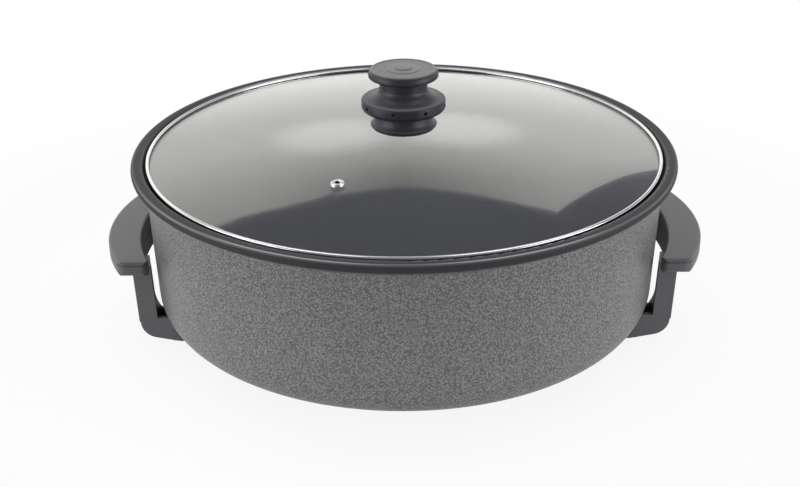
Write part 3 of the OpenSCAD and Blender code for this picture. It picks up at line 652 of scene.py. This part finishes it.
def drill(piece, drills):
    """Cuts the mesh of drills out of a piece."""
    mesh = bpy.data.meshes.new("drills")
    drills.to_mesh(mesh)
    drills.free()
    tool = bpy.data.objects.new("drills", mesh)
    scene.collection.objects.link(tool)
    cut = piece.modifiers.new("cut", "BOOLEAN")
    cut.object = tool
    cut.solver = "EXACT"
    bpy.context.view_layer.update()
    shaped = bpy.data.meshes.new_from_object(piece.evaluated_get(bpy.context.evaluated_depsgraph_get()))
    piece.modifiers.remove(cut)
    piece.data = shaped
    shaped.name = piece.name
    smooth(shaped)
    bpy.data.objects.remove(tool)


def drill_bits(skirt_r, height):
    """Pegs for the air holes, whose outer ends stand proud of the skirt."""
    proud = 1.0
    sides = 20
    lying = Matrix.Rotation(math.pi / 2, 4, "Y")
    place = Matrix.Translation(((skirt_r - HOLE_DEPTH / 2 + proud) * MM, 0.0, height * MM))
    bm = bmesh.new()
    for i in range(HOLE_COUNT):
        turn = Matrix.Rotation(math.radians(HOLE_START + i * 360 / HOLE_COUNT), 4, "Z")
        bmesh.ops.create_cone(
            bm, cap_ends=True, segments=sides, radius1=HOLE_R * MM, radius2=HOLE_R * MM,
            depth=HOLE_DEPTH * MM, matrix=turn @ place @ lying,
        )
    return bm


def add_knob_base():
    """Flared foot and wide skirt with air holes, up to the seam under the cap's neck."""
    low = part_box("knob_base")[0].z / MM
    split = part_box("knob_base")[1].z / MM
    skirt_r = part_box("knob_base")[1].x / MM
    waist = low + FOOT_H
    edge = waist + SKIRT_H
    side = edge - SIDE_H
    foot_edge = 1.2
    foot_rim_h = 1.7
    edge_r = 1.2
    seam = 0.25
    turn = 54.0
    flare_w = (skirt_r - WAIST_R) / (1 - math.cos(math.radians(turn)))
    flare_h = (SKIRT_H - SIDE_H) / math.sin(math.radians(turn))
    cone_w = skirt_r - edge_r - NECK_R
    profile = run(
        [(0.0, low)],
        arc((FOOT_R - foot_edge, low + foot_edge), foot_edge, foot_edge, -90, 0, 6),
        arc((FOOT_R, waist), FOOT_R - WAIST_R, FOOT_H - foot_rim_h, -90, -180, 14),
        arc((skirt_r - flare_w, side), flare_w, flare_h, -turn, 0, 16),
        arc((skirt_r - edge_r, edge - edge_r), edge_r, edge_r, 0, 90, 6),
        arc((skirt_r - edge_r, split - seam), cone_w, split - seam - edge, -90, -180, 18),
        [(NECK_R - seam, split), (0.0, split)],
    )
    piece = make_piece("knob_skirt", lathe(profile), "knob", "lid", "knob_base")
    drill(piece, drill_bits(skirt_r, edge - HOLE_DROP))
    return piece


def add_knob_cap():
    """Cap with a rounded edge and a flat top, which steps up to a button in the middle."""
    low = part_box("knob_cap")[0].z / MM
    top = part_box("knob_cap")[1].z / MM
    cap_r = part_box("knob_cap")[1].x / MM
    neck_w = 2.4
    neck_h = 1.0
    lip_h = 2.1
    seam = 0.25
    edge_w = 2.8
    ridge_drop = 0.9
    ridge_w = 0.8
    dish = 0.45
    step_r = 11.4
    button_r = 6.4
    under = top - CAP_H
    lip = under + lip_h
    ridge = top - ridge_drop
    ridge_r = cap_r - edge_w
    half = dish / 2
    rise = ridge_drop / 2
    profile = run(
        [(0.0, low), (NECK_R - seam, low), (NECK_R, low + seam)],
        arc((NECK_R + neck_w, under - neck_h), neck_w, neck_h, 180, 90, 8),
        arc((NECK_R + neck_w, lip), cap_r - NECK_R - neck_w, lip_h, -90, 0, 14),
        arc((ridge_r, lip), edge_w, ridge - lip, 0, 90, 22),
        arc((ridge_r, ridge - half), ridge_w, half, 90, 180, 5),
        arc((ridge_r - 2 * ridge_w, ridge - half), ridge_w, half, 0, -90, 5),
        arc((step_r + 2 * ridge_w, ridge - half), ridge_w, half, -90, -180, 5),
        arc((step_r, ridge - half), ridge_w, half, 0, 90, 5),
        arc((button_r + ridge_w, ridge + rise), ridge_w, rise, -90, -180, 5),
        arc((button_r - ridge_w, ridge + rise), ridge_w, rise, 0, 90, 5),
        [(0.0, top)],
    )
    return make_piece("knob_top", lathe(profile), "knob", "lid", "knob_cap")


def add_lid_ring():
    """Steel channel round the edge of the glass, with a roll on top as high as the rim bead."""
    low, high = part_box("lid_ring")
    outer = high.x / MM
    bottom = low.z / MM
    top = high.z / MM
    bead_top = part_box("pan_body")[1].z / MM
    lap = 2.7
    sheet = 0.5
    roll_r = lap / 2
    roll_z = bead_top - roll_r
    profile = run(
        arc((outer - sheet, bottom + sheet), sheet, sheet, -90, 0, 5),
        arc((outer - roll_r, roll_z), roll_r, roll_r, 0, 180, 20),
        [(outer - lap, top - sheet), (outer - sheet, top - sheet)],
        [(outer - sheet, bottom + sheet), (outer - lap, bottom + sheet), (outer - lap, bottom)],
    )
    band = lathe(profile, closed=True, steps=256)
    return make_piece("lid_band", band, "polished_steel", "lid", "lid_ring")


def add_vent_eyelet():
    """Rolled eyelet through the glass, square to the dome."""
    glass = 4.0
    lift = 1.7
    inset = 0.25
    roll_w = (VENT_FLANGE_R - VENT_BORE_R) / 2
    roll_r = VENT_BORE_R + roll_w
    profile = run(
        arc((roll_r, 0.0), roll_w, lift, 0, 180, 12),
        arc((roll_r - inset, -glass), roll_w - inset, lift, -180, 0, 10),
        [(VENT_STEM_R, -glass), (VENT_STEM_R, 0.0)],
    )
    bm = lathe(profile, closed=True, steps=48)
    bm.transform(vent_place())
    return make_piece("vent_rivet", bm, "polished_steel", "lid", "vent_eyelet")


def soften(name, width):
    """Rounds the sharp edges of a CAD node."""
    bevel = nodes[name].modifiers.new("soft_edges", "BEVEL")
    bevel.width = width * MM
    bevel.segments = 3
    bevel.limit_method = "ANGLE"
    bevel.angle_limit = CREASE
    bevel.use_clamp_overlap = True
    bevel.harden_normals = True


def dress_nodes():
    """Gives each CAD node the finish of its material slot."""
    for part in frame["record"]["subparts"]:
        for material_slot in nodes[part["node"]].material_slots:
            material_slot.material = FINISHES[part["material_slot"]]


def hide_from_glass(pieces):
    """Keeps pieces out of the lid's reflections and out of what shows through it."""
    for piece in pieces:
        piece.visible_glossy = False
        piece.visible_transmission = False


dress_nodes()
add_camera()
add_world()
add_floor()
add_lamps()

knob_inside = [nodes[name] for name in ("knob_seal_upper", "knob_insert", "knob_screw")]
hide_from_glass([add_knob_base(), add_knob_cap(), *knob_inside])
add_lid_ring()
add_vent_eyelet()
for side in ("left", "right"):
    soften(side + "_handle", HANDLE_EDGE)
    soften(side + "_grip_cover", COVER_EDGE)
